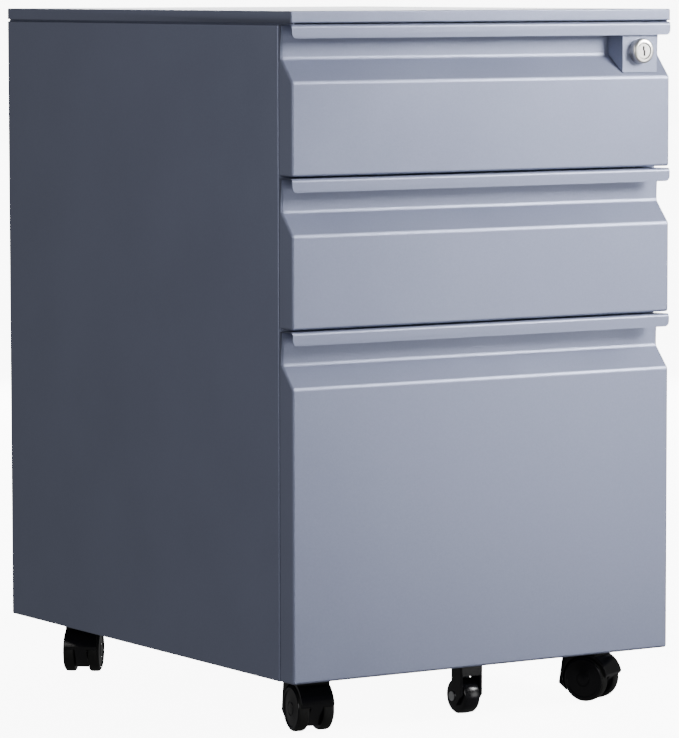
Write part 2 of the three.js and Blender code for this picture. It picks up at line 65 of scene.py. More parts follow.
# %% A finish with grain
def finish(name, dark, light, rough, metallic=0.0, grain=900.0, bump=0.0, stretch=(1, 1, 1), **sockets):
    """A material whose colour runs between two shades and whose roughness between two values."""
    material = bpy.data.materials.new(name)
    material.use_nodes = True
    nodes, links = material.node_tree.nodes, material.node_tree.links
    shader = nodes["Principled BSDF"]
    shader.inputs["Metallic"].default_value = metallic
    for socket, value in sockets.items():
        shader.inputs[socket.replace("_", " ")].default_value = value
    place = nodes.new("ShaderNodeTexCoord")
    mapping = nodes.new("ShaderNodeMapping")
    mapping.inputs["Scale"].default_value = stretch
    links.new(place.outputs["Object"], mapping.inputs["Vector"])
    cloud = nodes.new("ShaderNodeTexNoise")
    cloud.inputs["Scale"].default_value = grain / 60
    cloud.inputs["Detail"].default_value = 4.0
    links.new(place.outputs["Object"], cloud.inputs["Vector"])
    fine = nodes.new("ShaderNodeTexNoise")
    fine.inputs["Scale"].default_value = grain
    fine.inputs["Detail"].default_value = 2.0
    links.new(mapping.outputs["Vector"], fine.inputs["Vector"])
    both = nodes.new("ShaderNodeMath")
    both.operation = "MULTIPLY_ADD"
    both.inputs[1].default_value = 0.5
    links.new(fine.outputs["Fac"], both.inputs[0])
    half = nodes.new("ShaderNodeMath")
    half.operation = "MULTIPLY"
    half.inputs[1].default_value = 0.5
    links.new(cloud.outputs["Fac"], half.inputs[0])
    links.new(half.outputs["Value"], both.inputs[2])
    shades = nodes.new("ShaderNodeValToRGB")
    shades.color_ramp.elements[0].position = 0.35
    shades.color_ramp.elements[1].position = 0.65
    shades.color_ramp.elements[0].color = (*dark, 1)
    shades.color_ramp.elements[1].color = (*light, 1)
    links.new(both.outputs["Value"], shades.inputs["Fac"])
    links.new(shades.outputs["Color"], shader.inputs["Base Color"])
    gloss = nodes.new("ShaderNodeMapRange")
    gloss.inputs["From Min"].default_value = 0.3
    gloss.inputs["From Max"].default_value = 0.7
    gloss.inputs["To Min"].default_value = rough[0]
    gloss.inputs["To Max"].default_value = rough[1]
    links.new(both.outputs["Value"], gloss.inputs["Value"])
    links.new(gloss.outputs["Result"], shader.inputs["Roughness"])
    if bump:
        relief = nodes.new("ShaderNodeBump")
        relief.inputs["Strength"].default_value = bump
        relief.inputs["Distance"].default_value = 0.1 * MM
        links.new(fine.outputs["Fac"], relief.inputs["Height"])
        links.new(relief.outputs["Normal"], shader.inputs["Normal"])
    return material


# %% [markdown]
# ## The finishes
# The cabinet is powder coated: a baked paint with a fine orange peel, in a bluish silver grey. The slides
# and small steel parts are zinc plated, the lock is nickel plated, and the hoods and wheels are black
# nylon. The inside of the lock's keyway is painted near black: painted shade for the slot's shadow.

# %% Mix the finishes
powder_coat = finish(
    "powder_coat", (0.213, 0.236, 0.345), (0.237, 0.263, 0.380), (0.34, 0.44), metallic=0.35, grain=700,
    bump=0.12,
)
inner_coat = finish(
    "inner_coat", (0.20, 0.225, 0.285), (0.24, 0.27, 0.335), (0.42, 0.55), metallic=0.15, grain=600,
    bump=0.18,
)
zinc_plate = finish(
    "zinc_plate", (0.50, 0.51, 0.52), (0.66, 0.67, 0.68), (0.26, 0.42), metallic=1.0, grain=500,
    bump=0.05, stretch=(1, 0.06, 1),
)
nickel_plate = finish(
    "nickel_plate", (0.78, 0.77, 0.74), (0.86, 0.85, 0.82), (0.26, 0.34), metallic=1.0, grain=900
)
# Painted shade: a near-black colour put on the keyway's faces to stand for the shadow inside the slot.
keyway_steel = finish(
    "keyway_steel", (0.03, 0.03, 0.03), (0.06, 0.06, 0.06), (0.4, 0.6), metallic=0.6, grain=900
)
hood_nylon = finish(
    "hood_nylon", (0.004, 0.004, 0.005), (0.007, 0.007, 0.009), (0.14, 0.24), grain=500, bump=0.02,
    Specular_IOR_Level=0.35,
)
wheel_nylon = finish(
    "wheel_nylon", (0.004, 0.004, 0.005), (0.007, 0.007, 0.009), (0.18, 0.28), grain=700, bump=0.03,
    Specular_IOR_Level=0.35,
)
tread_rubber = finish(
    "tread_rubber", (0.006, 0.006, 0.006), (0.014, 0.014, 0.013), (0.5, 0.7), grain=350, bump=0.3,
    Specular_IOR_Level=0.3,
)
print(len(bpy.data.materials), "materials")


# %% [markdown]
# ## Helpers for shapes
# A sheet-metal piece starts as a surface with no thickness. Its folds are rounded by a bevel, because a
# press brake never leaves a sharp edge, and a Solidify modifier then gives it the sheet's thickness on the
# inner side. Weighted normals keep the broad faces flat beside their rounded bends.

# %% Turn a bmesh into a piece of the cabinet
def piece(name, bm, material, body, replaces=(), sheet=0.0, edge=0.0, smooth=50):
    """A finished object that rides on a body and stands for the CAD nodes it replaces."""
    mesh = bpy.data.meshes.new(name)
    bm.to_mesh(mesh)
    bm.free()
    mesh.shade_smooth()
    mesh.set_sharp_from_angle(angle=math.radians(smooth))
    thing = bpy.data.objects.new(name, mesh)
    bpy.context.scene.collection.objects.link(thing)
    mesh.materials.append(material)
    if sheet:
        wall = thing.modifiers.new("sheet", "SOLIDIFY")
        wall.thickness = sheet
        wall.offset = -1
        wall.use_even_offset = True
    if edge:
        ease = thing.modifiers.new("eased edges", "BEVEL")
        ease.width = edge
        ease.segments = 2
        ease.limit_method = "ANGLE"
        ease.angle_limit = math.radians(40)
        ease.harden_normals = True
    else:
        even = thing.modifiers.new("flat faces", "WEIGHTED_NORMAL")
        even.keep_sharp = True
    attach(thing, body)
    if replaces:
        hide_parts(*replaces)
    return thing


# %% Basic forms
def box_form(low, high):
    """A closed box between two corners."""
    low, high = Vector(low), Vector(high)
    bm = bmesh.new()
    bmesh.ops.create_cube(bm, size=1)
    bmesh.ops.scale(bm, verts=bm.verts, vec=high - low)
    bmesh.ops.translate(bm, verts=bm.verts, vec=(low + high) / 2)
    return bm


def turned_form(profile, sides=64):
    """A profile of (radius, height) points, spun about Z."""
    bm = bmesh.new()
    line = [bm.verts.new((radius, 0, height)) for radius, height in profile]
    rim = [bm.edges.new(pair) for pair in zip(line, line[1:])]
    bmesh.ops.spin(
        bm, geom=line + rim, cent=(0, 0, 0), axis=(0, 0, 1), angle=math.radians(360), steps=sides,
        use_merge=True,
    )
    bmesh.ops.remove_doubles(bm, verts=bm.verts, dist=1e-7)
    bmesh.ops.recalc_face_normals(bm, faces=bm.faces)
    return bm


def joined(*forms):
    """One bmesh out of several."""
    whole = forms[0]
    for form in forms[1:]:
        extra = bpy.data.meshes.new("extra")
        form.to_mesh(extra)
        form.free()
        whole.from_mesh(extra)
        bpy.data.meshes.remove(extra)
    return whole


def moved(bm, matrix):
    bmesh.ops.transform(bm, matrix=matrix, verts=bm.verts)
    return bm


def carved(body, cutter):
    """The first form less the second, by a Boolean modifier that is made real."""
    forms = []
    for bm in (body, cutter):
        mesh = bpy.data.meshes.new("form")
        bm.to_mesh(mesh)
        bm.free()
        forms.append(bpy.data.objects.new("form", mesh))
        bpy.context.scene.collection.objects.link(forms[-1])
    cut = forms[0].modifiers.new("cut", "BOOLEAN")
    cut.object = forms[1]
    seen = forms[0].evaluated_get(bpy.context.evaluated_depsgraph_get())
    result = bmesh.new()
    result.from_mesh(seen.to_mesh())
    seen.to_mesh_clear()
    for form in forms:
        mesh = form.data
        bpy.data.objects.remove(form)
        bpy.data.meshes.remove(mesh)
    return result


def faces_towards(bm, direction):
    return [face for face in bm.faces if face.normal.dot(Vector(direction)) > 0.99]


def edges_where(bm, test):
    return [edge for edge in bm.edges if all(test(vert.co) for vert in edge.verts)]


def near(value, target, slack=0.01 * MM):
    return abs(value - target) < slack


def folded_out(bm, edges, step):
    """A flange: the edges are drawn out by a step. Returns the new edges."""
    made = bmesh.ops.extrude_edge_only(bm, edges=edges)["geom"]
    verts = [part for part in made if isinstance(part, bmesh.types.BMVert)]
    bmesh.ops.translate(bm, verts=verts, vec=step)
    edges = [part for part in made if isinstance(part, bmesh.types.BMEdge)]
    return [edge for edge in edges if all(vert in verts for vert in edge.verts)]


def round_folds(bm, radius, segments=5):
    """Rounds the edges where two faces meet at an angle."""
    bm.normal_update()
    folds = [
        edge
        for edge in bm.edges
        if len(edge.link_faces) == 2 and edge.calc_face_angle(0) > math.radians(10)
    ]
    bmesh.ops.bevel(
        bm, geom=folds, offset=radius, offset_type="OFFSET", segments=segments, profile=0.5, affect="EDGES",
        material=-1, clamp_overlap=True,
    )


def cad_copy(node):
    """The CAD node's own shape, with its loose triangles merged into clean faces."""
    bm = bmesh.new()
    bm.from_mesh(frame["nodes"][node].data)
    bmesh.ops.remove_doubles(bm, verts=bm.verts, dist=1e-6)
    bmesh.ops.dissolve_limit(bm, angle_limit=math.radians(0.5), verts=bm.verts, edges=bm.edges)
    return bm


# %% [markdown]
# ## Top panel
# A shallow tray, ten millimetres deep, that lies over the side panels and the top drawer's front. It starts
# as a cube without its lower face. The front edge is folded a second time, under the tray. The corners are
# welded and ground, so all its outer edges are rounded alike. Two tabs under it close the shadow gap in
# front of the side panels.

# %% Fold the top panel
TOP_EDGE = 10 * MM  # depth of the tray
TOP_TUCK = 19 * MM  # the second fold, under the tray
TOP_BEND = 1.3 * MM
TOP_STEP = 2.7 * MM  # how far a side panel's skin steps in under the top panel
TAB_INSET = 1 * MM  # from the tray's front edge back to a tab
TAB_OVERLAP = 0.2 * MM  # how far a tab reaches up into the tray
TAB_GAP = 0.3 * MM  # between a tab and the side panel behind it
low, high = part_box("top_panel")
edge_low = high.z - TOP_EDGE
top = box_form((low.x, low.y, edge_low), high)
bmesh.ops.delete(top, geom=faces_towards(top, (0, 0, -1)), context="FACES_ONLY")
front_edge = edges_where(top, lambda co: near(co.y, low.y) and near(co.z, edge_low))
folded_out(top, front_edge, (0, TOP_TUCK, 0))
round_folds(top, TOP_BEND)
piece("tray_top", top, powder_coat, "carcass", ["top_panel"], sheet=SHEET)
tab_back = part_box("side_panel_left")[0].y - TAB_GAP
for word, side in (("left", -1), ("right", 1)):
    inner, outer = sorted((side * (high.x - TOP_STEP - SHEET), side * (high.x - TOP_STEP)))
    tab = box_form((inner, low.y + TAB_INSET, low.z), (outer, tab_back, edge_low + TAB_OVERLAP))
    piece(f"gap_tab_{word}", tab, powder_coat, "carcass", edge=0.2 * MM)
print("top panel", [round(side / MM, 1) for side in high - low], "mm")

# %% [markdown]
# ## Side panels
# The skin is folded in on all four edges. At the front it is folded twice, into the post that carries the
# slides; the rounded front fold is the bright line beside the drawers. At the top it steps in and then up,
# into the top panel's tray, which leaves the dark shadow gap under the top.

# %% Fold the side panels
POST = 60 * MM  # depth of the return that the slides are screwed to
POST_WIDTH = 14 * MM
TOP_TURN = 12 * MM  # turned in at the top, inside the tray
BEND = 2.4 * MM  # outer radius of a fold
for word, side in (("left", -1), ("right", 1)):
    node = f"side_panel_{word}"
    low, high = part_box(node)
    outer = low.x if side < 0 else high.x
    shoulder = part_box("drawer_1_front")[1].z
    flange = outer - side * POST_WIDTH
    skin = box_form((min(outer, flange), low.y, low.z), (max(outer, flange), high.y, shoulder))
    open_sides = faces_towards(skin, (-side, 0, 0)) + faces_towards(skin, (0, 0, 1))
    bmesh.ops.delete(skin, geom=open_sides, context="FACES_ONLY")
    post_edge = edges_where(skin, lambda co: near(co.x, flange) and near(co.y, low.y))
    folded_out(skin, post_edge, (0, POST, 0))
    top_edge = edges_where(skin, lambda co: near(co.x, outer) and near(co.z, shoulder))
    step = folded_out(skin, top_edge, (-side * TOP_STEP, 0, 0))
    rise = folded_out(skin, step, (0, 0, high.z - shoulder))
    folded_out(skin, rise, (-side * TOP_TURN, 0, 0))
    bmesh.ops.recalc_face_normals(skin, faces=skin.faces)
    if faces_towards(skin, (-side, 0, 0)) and not faces_towards(skin, (side, 0, 0)):
        bmesh.ops.reverse_faces(skin, faces=skin.faces)
    round_folds(skin, BEND, segments=6)
    piece(f"folded_side_{word}", skin, powder_coat, "carcass", [node], sheet=SHEET)

# %% [markdown]
# ## Flat panels and posts
# The back, the bottom, the front rail and the posts are plain folded sheets that are hardly seen. The CAD
# shape is already right, so a merged copy of it only gets eased edges.

# %% Ease the plain sheets
def eased(node, material, body, edge=0.25 * MM):
    return piece(f"{node}_sheet", cad_copy(node), material, body, [node], edge=edge)


eased("back_panel", powder_coat, "carcass")
eased("bottom_panel", inner_coat, "carcass")
eased("top_front_rail", inner_coat, "carcass")
for word in ("left", "right"):
    eased(f"rear_post_{word}", zinc_plate, "carcass")
    eased(f"file_rail_{word}", zinc_plate, "drawer_3", edge=0.4 * MM)

# %% [markdown]
# ## Drawer fronts
# Each front is one folded skin. From the top it has a lip, a ledge back to the pull's wall, a slope forward
# again, the face, and a return along the bottom and at both ends. A cube is cut by the plane of the slope,
# and its back is left out. The wall, ledge and lip are then drawn out of the slope's upper edge. The lip's
# lower corners are rounded so that nobody catches a finger on them.

# %% Fold the drawer fronts
LIP = 10.7 * MM
PULL_DEPTH = 17 * MM
CREASE = 28 * MM  # from the top edge down to where the slope starts
SLOPE_END = 47 * MM
LIP_CORNER = 4.5 * MM
END_FLANGE = 2.6 * MM  # turned back at each end of the pull's wall


def drawer_front(low, high):
    """The folded skin of a drawer front between the corners of its box."""
    face, wall, crease = low.y, low.y + PULL_DEPTH, high.z - CREASE
    bm = box_form(low, (high.x, high.y, crease))
    bmesh.ops.delete(bm, geom=faces_towards(bm, (0, 1, 0)), context="FACES_ONLY")
    whole = bm.verts[:] + bm.edges[:] + bm.faces[:]
    slope = Vector((0, CREASE - SLOPE_END, PULL_DEPTH)).normalized()
    bmesh.ops.bisect_plane(bm, geom=whole, plane_co=(0, wall, crease), plane_no=slope, clear_outer=True)
    bm.normal_update()
    bmesh.ops.delete(bm, geom=faces_towards(bm, (0, 0, 1)), context="FACES_ONLY")
    rim = edges_where(bm, lambda co: near(co.y, face) and near(co.z, high.z - SLOPE_END))
    folded_out(bm, rim, (0, PULL_DEPTH, SLOPE_END - CREASE))
    bmesh.ops.remove_doubles(bm, verts=bm.verts, dist=0.01 * MM)
    foot = edges_where(bm, lambda co: near(co.y, wall) and near(co.z, crease))
    head = folded_out(bm, foot, (0, 0, CREASE))
    lip_top = folded_out(bm, head, (0, -PULL_DEPTH, 0))
    folded_out(bm, lip_top, (0, 0, -LIP))
    ends = [
        edge
        for edge in edges_where(bm, lambda co: near(co.y, wall))
        if abs(edge.verts[0].co.z - edge.verts[1].co.z) > CREASE / 2
    ]
    folded_out(bm, ends, (0, END_FLANGE, 0))
    bmesh.ops.recalc_face_normals(bm, faces=bm.faces)
    if max(bm.faces, key=lambda part: part.calc_area()).normal.y > 0:
        bmesh.ops.reverse_faces(bm, faces=bm.faces)
    corners = [vert for vert in bm.verts if near(vert.co.z, high.z - LIP) and near(vert.co.y, face)]
    bmesh.ops.bevel(
        bm, geom=corners, offset=LIP_CORNER, offset_type="OFFSET", segments=6, profile=0.5,
        affect="VERTICES", material=-1,
    )
    round_folds(bm, BEND, segments=6)
    return bm


for number in (1, 2, 3):
    node = f"drawer_{number}_front"
    low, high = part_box(node)
    skin = drawer_front(low, high)
    piece(f"folded_front_{number}", skin, powder_coat, f"drawer_{number}", [node], sheet=SHEET)
    print(node, round((high.z - low.z) / MM, 1), "mm high")

# %% [markdown]
# ## Drawer boxes
# A box is folded from one sheet, open at the top, with a narrow safety edge turned in along its rim. Its
# inner front plate closes it and stiffens the folded front. The catch that the lock holds is on its right
# side.

# %% Fold the drawer boxes
PLATE_MARGIN = 2 * MM  # the plate stays this far inside the front, above and below
PLATE_SIDE = 2.5 * MM  # and this far at its ends
RIM = 5 * MM
BOX_BEND = 1.0 * MM
RAIL_TO_SIDE = 1.5 * MM  # from a file rail to the outside of the box
CATCH_BEHIND = 21.3 * MM  # from the plate to the catch
CATCH_THICK = 3 * MM
CATCH_OUT = 6.5 * MM  # how far the catch stands out from the box
CATCH_BELOW, CATCH_ABOVE = 3 * MM, 4 * MM  # its extent about its own height
# floor, rim and catch above the front's foot, in millimetres
HEIGHTS = {1: (11, 84, 62), 2: (11, 84, 62), 3: (29, 246, 170)}
box_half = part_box("file_rail_right")[1].x + RAIL_TO_SIDE
for number in (1, 2, 3):
    node, body = f"drawer_{number}_box", f"drawer_{number}"
    low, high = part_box(node)
    front_low, front_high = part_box(f"drawer_{number}_front")
    floor_z, rim_z, catch_z = (front_low.z + height * MM for height in HEIGHTS[number])
    tray = box_form((-box_half, low.y, floor_z), (box_half, high.y, rim_z))
    open_sides = faces_towards(tray, (0, 0, 1)) + faces_towards(tray, (0, -1, 0))
    bmesh.ops.delete(tray, geom=open_sides, context="FACES_ONLY")
    for x in (-1, 1):
        edge = edges_where(tray, lambda co: near(co.x, x * box_half) and near(co.z, rim_z))
        folded_out(tray, edge, (-x * RIM, 0, 0))
    back_edge = edges_where(
        tray, lambda co: near(co.y, high.y) and near(co.z, rim_z) and near(abs(co.x), box_half)
    )
    folded_out(tray, back_edge, (0, -RIM, 0))
    round_folds(tray, BOX_BEND, segments=4)
    piece(f"drawer_tray_{number}", tray, inner_coat, body, [node], sheet=SHEET)
    plate = box_form(
        (front_low.x + PLATE_SIDE, low.y, front_low.z + PLATE_MARGIN),
        (front_high.x - PLATE_SIDE, low.y + SHEET, front_high.z - PLATE_MARGIN),
    )
    piece(f"inner_plate_{number}", plate, inner_coat, body, edge=0.2 * MM)
    catch = box_form(
        (box_half - SHEET, low.y + CATCH_BEHIND, catch_z - CATCH_BELOW),
        (box_half + CATCH_OUT, low.y + CATCH_BEHIND + CATCH_THICK, catch_z + CATCH_ABOVE),
    )
    piece(f"catch_{number}", catch, zinc_plate, body, edge=0.5 * MM)
print("three drawer boxes, each", round(2 * box_half / MM), "mm wide")

# %% [markdown]
# ## Slides
# Each drawer runs on two ball-bearing slides: rolled channels, one inside the other, with rows of steel
# balls between their edges. The channels are merged copies of the CAD's, and the balls are small spheres in
# a strip. They stay with the carcass, at its front.

# %% Ease the channels and set the balls
BALL = 1.5 * MM  # a ball's radius
BALLS = 8  # in each row
FIRST_BALL, BALL_PITCH = 6, 7  # in millimetres, from the front end of the channel
BALL_OFF = 1.9 * MM  # from the inner channel's edge to the middle of a ball
for number in (1, 2, 3):
    for word, side in (("left", -1), ("right", 1)):
        members = {"outer": "carcass", "inner": f"drawer_{number}"}
        if number == 3:
            members["middle"] = "drawer_3_slide"
        for member, body in members.items():
            eased(f"slide_{number}_{member}_{word}", zinc_plate, body, edge=0.3 * MM)
        inner_low, inner_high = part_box(f"slide_{number}_inner_{word}")
        x = (inner_low.x + inner_high.x) / 2
        balls = bmesh.new()
        for count in range(BALLS):
            for z in (inner_low.z - BALL_OFF, inner_high.z + BALL_OFF):
                spot = Matrix.Translation((x, inner_low.y + (FIRST_BALL + BALL_PITCH * count) * MM, z))
                bmesh.ops.create_uvsphere(balls, u_segments=12, v_segments=8, radius=BALL, matrix=spot)
        piece(f"slide_balls_{number}_{word}", balls, nickel_plate, "carcass")

# %% [markdown]
# ## Lock
# The lock sits in a painted block that fills the right end of the top pull. A nickel-plated barrel comes
# through it with a ring in front, and the plug inside the barrel turns with the key. Round parts are
# profiles spun about the lock's axis, and the keyway is cut out of the plug. The keyway's inner faces
# get a near-black painted shade in place of the shadow inside the slot.

# %% Make the lock
def lying_along_y(x, y, z):
    """Turns a form made about Z so that its top faces the front, at a place."""
    return Matrix.Translation((x, y, z)) @ Matrix.Rotation(math.radians(90), 4, "X")


lock_joint = next(joint for joint in frame["joints"] if joint["name"] == "lock_turn")
lock_x, _, lock_z = lock_joint["pos_m"]
block = cad_copy("lock_housing")
piece("lock_block", block, powder_coat, "drawer_1", ["lock_housing"], edge=0.8 * MM)

barrel_low, barrel_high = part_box("lock_barrel")
length = barrel_high.y - barrel_low.y
ring = (barrel_high.x - barrel_low.x) / 2
seat = barrel_high.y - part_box("lock_housing")[0].y + 0.1 * MM  # the ring's back, on the block
barrel = turned_form(
    [
        (7.0 * MM, 0),
        (7.0 * MM, length - 0.3 * MM),
        (7.3 * MM, length),
        (ring - 2.0 * MM, length),
        (ring - 0.8 * MM, length - 0.5 * MM),
        (ring - 0.2 * MM, length - 1.3 * MM),
        (ring, length - 2.2 * MM),
        (ring, seat),
        (9.2 * MM, seat),
        (9.2 * MM, 0),
        (7.0 * MM, 0),
    ],
    sides=72,
)
lock_place = lying_along_y(lock_x, barrel_high.y, lock_z)
piece(
    "barrel_with_ring", moved(barrel, lock_place), nickel_plate, "drawer_1", ["lock_barrel"],
    smooth=35,
)

plug_low, plug_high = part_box("lock_plug")
plug_length = barrel_high.y - plug_low.y
plug = turned_form(
    [
        (0, 0),
        (6.7 * MM, 0),
        (6.7 * MM, plug_length - 0.4 * MM),
        (6.3 * MM, plug_length),
        (0, plug_length),
    ],
    sides=72,
)
KEY_DEPTH = 9 * MM
KEYWAY_HALF_WIDTH, KEYWAY_HALF_HEIGHT = 1.5 * MM, 4.5 * MM  # just outside the two wards together
key_mouth = plug_length + 1 * MM
key_end = plug_length - KEY_DEPTH
ward_left, ward_right = (-1.3 * MM, 0.5 * MM), (-0.5 * MM, 1.3 * MM)
plug = carved(plug, box_form((ward_left[0], 0.4 * MM, key_end), (ward_left[1], 4.3 * MM, key_mouth)))
plug = carved(plug, box_form((ward_right[0], -4.3 * MM, key_end), (ward_right[1], 0.6 * MM, key_mouth)))
print("plug has", len(plug.faces), "faces with its keyway")
# The faces inside the keyway get the near-black painted shade, which stands for the slot's shadow.
plug.normal_update()
for face in plug.faces:
    middle = face.calc_center_median()
    inside = abs(middle.x) < KEYWAY_HALF_WIDTH and abs(middle.y) < KEYWAY_HALF_HEIGHT
    in_painted_shade = inside and key_end / 2 < middle.z < plug_length - 0.1 * MM
    face.material_index = 1 if in_painted_shade else 0
whole_plug = piece(
    "plug_with_keyway", moved(plug, lock_place), nickel_plate, "lock", ["lock_plug"], smooth=30
)
# The second material is the keyway's painted shade.
whole_plug.data.materials.append(keyway_steel)
print("lock at", round(lock_x / MM), round(lock_z / MM), "mm, ring", round(2 * ring / MM), "mm across")
TAIL = 2.5 * MM  # half the width of the square tail that turns the cam
tail = box_form(
    (lock_x - TAIL, barrel_high.y - 1 * MM, lock_z - TAIL),
    (lock_x + TAIL, plug_high.y, lock_z + TAIL),
)
piece("plug_tail", tail, zinc_plate, "lock", edge=0.3 * MM)
eased("lock_cam", zinc_plate, "lock")
eased("lock_bar", zinc_plate, "lock_bar", edge=0.3 * MM)

# %% [markdown]
# ## Casters
# A twin-wheel caster has a fixed pin, a hood that swivels on it, and a wheel on each side of the hood's
# web. Each piece is made about a caster that trails along X with its pin at the origin, and is then turned
# and carried to its place. The places and the way each caster trails come from the frame's own joints.

# %% Read where the casters stand
joints = {joint["name"]: joint for joint in frame["joints"]}
CORNERS = ("front_left", "front_right", "rear_left", "rear_right")
places = {}
for corner in CORNERS:
    pin = Vector(joints[f"caster_{corner}_swivel"]["pos_m"])
    axle = Vector(joints[f"caster_{corner}_roll_a"]["pos_m"])
    trail = math.atan2(axle.y - pin.y, axle.x - pin.x)
    places[corner] = Matrix.Translation((pin.x, pin.y, 0)) @ Matrix.Rotation(trail, 4, "Z")
    reach = math.hypot(axle.x - pin.x, axle.y - pin.y)
AXLE_Z = axle.z
print("casters trail by", round(reach / MM, 1), "mm, axles at", round(AXLE_Z / MM, 1), "mm")

# %% Shape a wheel, a hood and a pin
WHEEL = AXLE_Z  # its radius
WHEEL_IN, WHEEL_OUT = 6.2 * MM, 17 * MM  # its two faces, from the caster's middle plane
AXLE_HALF, AXLE_RADIUS = 16 * MM, 2.2 * MM
PIN_ABOVE = 13 * MM  # how far the pin stands up into the carcass
COLLAR = 13 * MM  # radius of the pin's collar
NUT_RADIUS, NUT_HEIGHT = 8.5 * MM, 6.2 * MM
about_axle = Matrix.Translation((reach, 0, AXLE_Z)) @ Matrix.Rotation(math.radians(-90), 4, "X")


def wheel_form():
    """A dished wheel, with its outer face towards +Z."""
    a, b = WHEEL_IN, WHEEL_OUT
    return turned_form(
        [
            (2.5 * MM, a),
            (17.6 * MM, a),
            (18.6 * MM, a + 0.5 * MM),
            (18.6 * MM, b - 1.6 * MM),
            (18.2 * MM, b - 0.7 * MM),
            (17.4 * MM, b - 0.2 * MM),
            (16.2 * MM, b - 0.2 * MM),
            (15.6 * MM, b - 1.0 * MM),
            (12.0 * MM, b - 0.9 * MM),
            (8.0 * MM, b - 0.5 * MM),
            (6.6 * MM, b - 0.3 * MM),
            (6.2 * MM, b - 0.8 * MM),
            (5.6 * MM, b - 0.8 * MM),
            (5.2 * MM, b - 0.2 * MM),
            (3.0 * MM, b),
            (0, b),
        ]
    )


def tread_form(inner, outer, radius):
    """A softer tyre band round a wheel, with rounded shoulders."""
    base = radius - 1.5 * MM
    return turned_form(
        [
            (base, inner + 0.4 * MM),
            (radius - 0.7 * MM, inner + 0.6 * MM),
            (radius - 0.1 * MM, inner + 1.8 * MM),
            (radius, (inner + outer) / 2),
            (radius - 0.1 * MM, outer - 2.8 * MM),
            (radius - 0.6 * MM, outer - 1.5 * MM),
            (base, outer - 1.0 * MM),
            (base, inner + 0.4 * MM),
        ]
    )


def pin_form():
    """The pin, its collar, the threaded end and the nut above the bottom panel."""
    low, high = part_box("caster_front_left_stem")
    under = high.z - PIN_ABOVE
    rod = turned_form(
        [
            (0, low.z),
            (4 * MM, low.z),
            (4 * MM, under - 3 * MM),
            (12.4 * MM, under - 3 * MM),
            (COLLAR, under - 2.4 * MM),
            (COLLAR, under + 0.3 * MM),
            (12.4 * MM, under + 0.8 * MM),
            (5 * MM, under + 0.8 * MM),
            (5 * MM, high.z - 0.8 * MM),
            (4.2 * MM, high.z),
            (0, high.z),
        ],
        sides=48,
    )
    nut = bmesh.new()
    bmesh.ops.create_cone(
        nut, cap_ends=True, segments=6, radius1=NUT_RADIUS, radius2=NUT_RADIUS, depth=NUT_HEIGHT,
        matrix=Matrix.Translation((0, 0, under + 5.5 * MM)),
    )
    round_folds(nut, 0.5 * MM, segments=2)
    return joined(rod, nut)


# %% Set the four casters
for corner, place in places.items():
    body = f"caster_{corner}"
    hood = cad_copy(f"{body}_hood")
    piece(f"hood_{corner}", hood, hood_nylon, body, [f"{body}_hood"], edge=0.8 * MM)
    axle_rod = turned_form(
        [(0, -AXLE_HALF), (AXLE_RADIUS, -AXLE_HALF), (AXLE_RADIUS, AXLE_HALF), (0, AXLE_HALF)], sides=24
    )
    piece(f"axle_{corner}", moved(axle_rod, place @ about_axle), zinc_plate, body, [f"{body}_axle"])
    pin_piece = moved(pin_form(), place)
    piece(f"pin_{corner}", pin_piece, zinc_plate, "carcass", [f"{body}_stem"], smooth=35)
    for letter, face in (("a", -1), ("b", 1)):
        flip = Matrix.Rotation(0 if face > 0 else math.pi, 4, "X")
        where = place @ about_axle @ flip
        wheel_body = f"{body}_wheel_{letter}"
        piece(
            f"wheel_{corner}_{letter}", moved(wheel_form(), where), wheel_nylon, wheel_body, [wheel_body],
            smooth=30,
        )
        tread = moved(tread_form(WHEEL_IN, WHEEL_OUT, WHEEL), where)
        piece(f"tread_{corner}_{letter}", tread, tread_rubber, wheel_body, smooth=60)

# %% [markdown]
# ## Fifth wheel
# A fixed wheel under the file drawer keeps the cabinet from tipping when the loaded drawer is pulled out.
# It hangs just clear of the floor in a black fork that is screwed under the drawer.

# %% Make the fifth wheel
FIFTH_BORE = 2.9 * MM  # radius
RIVET_HEAD, RIVET_SHANK = 4.2 * MM, 2.6 * MM  # radii
RIVET_END = 12.5 * MM  # from the middle to the outside of a head
fork = cad_copy("fifth_caster_bracket")
piece("fifth_fork", fork, hood_nylon, "drawer_3", ["fifth_caster_bracket"], edge=0.9 * MM)
roll = joints["fifth_caster_roll"]
across = Matrix.Translation(roll["pos_m"]) @ Matrix.Rotation(math.radians(90), 4, "Y")
fifth_low, fifth_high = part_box("fifth_caster_wheel")
half = (fifth_high.x - fifth_low.x) / 2
radius = (fifth_high.z - fifth_low.z) / 2
fifth = turned_form(
    [
        (FIFTH_BORE, -half),
        (radius - 3.5 * MM, -half),
        (radius - 1.6 * MM, -half + 0.6 * MM),
        (radius - 0.4 * MM, -half + 2.2 * MM),
        (radius, 0),
        (radius - 0.4 * MM, half - 2.2 * MM),
        (radius - 1.6 * MM, half - 0.6 * MM),
        (radius - 3.5 * MM, half),
        (FIFTH_BORE, half),
        (FIFTH_BORE, -half),
    ]
)
piece(
    "fifth_wheel_roller", moved(fifth, across), wheel_nylon, "fifth_caster", ["fifth_caster_wheel"],
    smooth=35,
)
rivet = turned_form(
    [
        (0, -RIVET_END),
        (RIVET_HEAD, -RIVET_END),
        (RIVET_HEAD, -11.6 * MM),
        (RIVET_SHANK, -11.5 * MM),
        (RIVET_SHANK, 11.5 * MM),
        (RIVET_HEAD, 11.6 * MM),
        (RIVET_HEAD, RIVET_END),
        (0, RIVET_END),
    ],
    sides=32,
)
piece(
    "fifth_wheel_rivet", moved(rivet, across), zinc_plate, "drawer_3", ["fifth_caster_axle"], smooth=35
)

